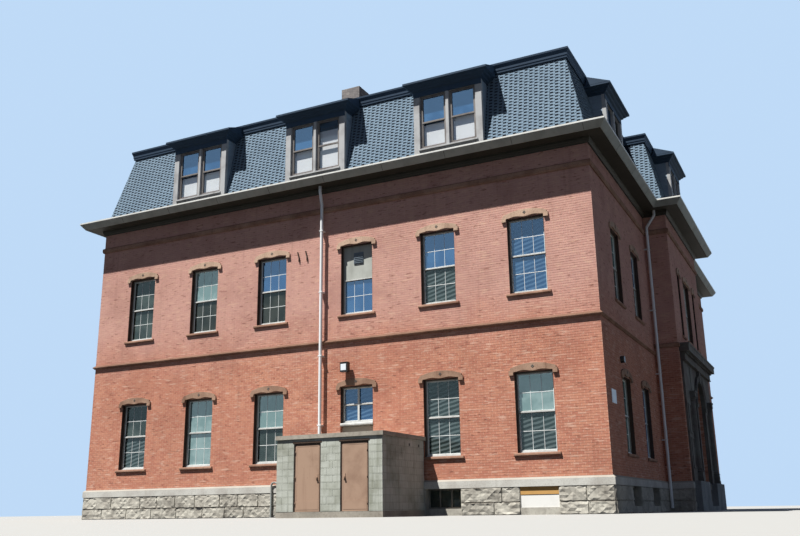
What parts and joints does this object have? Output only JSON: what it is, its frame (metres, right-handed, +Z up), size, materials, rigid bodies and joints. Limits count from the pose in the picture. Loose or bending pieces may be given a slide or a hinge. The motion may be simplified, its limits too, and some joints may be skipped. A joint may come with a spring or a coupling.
{
  "type": "school building",
  "caption": "Two-storey brick school on a stone basement, with a mansard roof, dormers, an arched entrance pavilion and a small block shed with hinged doors.",
  "frame": {"origin": "on the ground, under the centre of the main block in plan", "axes": "+Z up; +X towards the entrance pavilion; -Y towards the long side that has the shed"},
  "size_m": [22.075, 27.255, 15.729],
  "materials": {
    "rubble_stone": "rough",
    "dressed_stone": "matt",
    "brick": "matt",
    "trim_stone": "matt",
    "entrance_stone": "matt",
    "step_stone": "matt",
    "floor_timber": "matt",
    "concrete": "rough",
    "sash_paint": "satin paint",
    "window_glass": "clear",
    "board_paint": "matt paint",
    "eaves_paint": "satin paint",
    "shingle": "matt",
    "cornice_paint": "matt paint",
    "dormer_paint": "matt paint",
    "roofing": "matt",
    "chimney_brick": "matt",
    "door_paint": "satin paint",
    "pipe_paint": "satin",
    "lamp_metal": "satin",
    "service_pipe": "satin",
    "shed_block": "rough",
    "shed_door_paint": "satin paint"
  },
  "bodies": {
    "building": {"side_foundations": "rubble_stone", "rear_foundation": "rubble_stone", "front_foundation": "rubble_stone", "pavilion_foundation": "rubble_stone", "water_table": "dressed_stone", "side_walls": "brick", "rear_wall": "brick", "front_wall": "brick", "pavilion_side_walls": "brick", "pavilion_front_wall": "brick", "basement_floor": "concrete", "first_floor": "floor_timber", "second_floor": "floor_timber", "attic_floor": "floor_timber", "window_frames": "sash_paint", "window_glass": "window_glass", "window_boards": "board_paint", "window_hoods": "trim_stone", "window_sills": "trim_stone", "stone_bands": "trim_stone", "eaves": "eaves_paint", "side_mansards": "shingle", "rear_mansard": "shingle", "front_mansard": "shingle", "pavilion_mansard": "shingle", "roof_cornice": "cornice_paint", "roof_deck": "roofing", "dormer_fronts": "dormer_paint", "dormer_cheeks": "shingle", "dormer_roofs": "cornice_paint", "dormer_sashes": "sash_paint", "chimney": "chimney_brick", "portal_surround": "entrance_stone", "portal_columns": "entrance_stone", "portal_entablature": "entrance_stone", "portal_plinths": "step_stone", "front_steps": "step_stone", "entrance_frame": "door_paint", "entrance_doors": "door_paint", "downspouts": "pipe_paint", "wall_lights": "lamp_metal", "vent_pipe": "service_pipe", "shed_floor": "concrete", "shed_side_walls": "shed_block", "shed_piers": "shed_block", "shed_lintel": "shed_block", "shed_roof": "concrete", "shed_door_frames": "shed_door_paint"},
    "shed_door_left": {"shed_door_left": "shed_door_paint"},
    "shed_door_right": {"shed_door_right": "shed_door_paint"}
  },
  "joints": [
    {"name": "shed_left_hinge", "type": "hinge", "parent": "building", "child": "shed_door_left", "pos_m": [1.238, -14.642, 1.1], "axis": [0, 0, -1], "range_deg": [0, 105]},
    {"name": "shed_right_hinge", "type": "hinge", "parent": "building", "child": "shed_door_right", "pos_m": [3.642, -14.642, 1.1], "axis": [0, 0, 1], "range_deg": [0, 105]}
  ]
}
